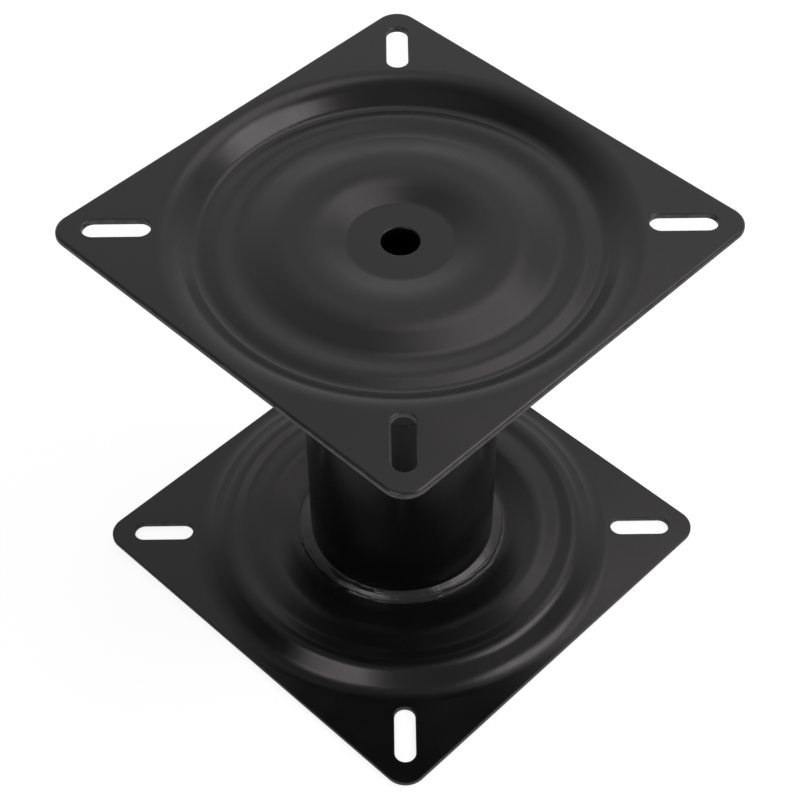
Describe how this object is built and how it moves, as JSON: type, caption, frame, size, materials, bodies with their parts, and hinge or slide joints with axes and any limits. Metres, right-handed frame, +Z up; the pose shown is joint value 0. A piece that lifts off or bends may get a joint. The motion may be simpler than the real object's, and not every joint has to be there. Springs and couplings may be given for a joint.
{
  "type": "boat seat pedestal",
  "caption": "Fixed-height boat seat pedestal: a steel tube welded to a pressed square base plate, with a ball swivel that carries a matching square plate for the seat.",
  "frame": {"origin": "on the column's axis, in the plane of the base plate's underside", "axes": "+Z up along the column and the swivel axis, from the deck towards the seat. A corner of each plate points along +X, -X, +Y and -Y, so the bolt slots run along X and along Y. The picture looks along +Y and down."},
  "size_m": [0.2442, 0.2442, 0.178],
  "materials": {
    "powder_coat": "semi-gloss black powder coat over pressed steel",
    "coated_weld": "weld bead under the same black powder coat",
    "bearing_steel": "polished ball",
    "cage_nylon": "natural moulded nylon"
  },
  "bodies": {
    "column": {"base_plate": "powder_coat", "base_weld": "coated_weld", "column_tube": "powder_coat", "pan_weld": "coated_weld", "swivel_pan": "powder_coat"},
    "seat_mount": {"top_plate": "powder_coat", "keeper_ring": "powder_coat", "keeper_tacks": "coated_weld"},
    "ball_row": {"ball_cage": "cage_nylon", "ball_01": "bearing_steel", "ball_02": "bearing_steel", "ball_03": "bearing_steel", "ball_04": "bearing_steel", "ball_05": "bearing_steel", "ball_06": "bearing_steel", "ball_07": "bearing_steel", "ball_08": "bearing_steel", "ball_09": "bearing_steel", "ball_10": "bearing_steel", "ball_11": "bearing_steel", "ball_12": "bearing_steel", "ball_13": "bearing_steel", "ball_14": "bearing_steel", "ball_15": "bearing_steel", "ball_16": "bearing_steel", "ball_17": "bearing_steel", "ball_18": "bearing_steel"}
  },
  "joints": [
    {"name": "seat_swivel", "type": "hinge", "parent": "column", "child": "seat_mount", "pos_m": [0, 0, 0.165], "axis": [0, 0, 1], "continuous": true},
    {"name": "ball_row_turn", "type": "hinge", "parent": "column", "child": "ball_row", "pos_m": [0, 0, 0.165], "axis": [0, 0, 1], "continuous": true}
  ],
  "couplings": [
    {"joint": "ball_row_turn", "follows": "seat_swivel", "ratio": 0.5}
  ]
}
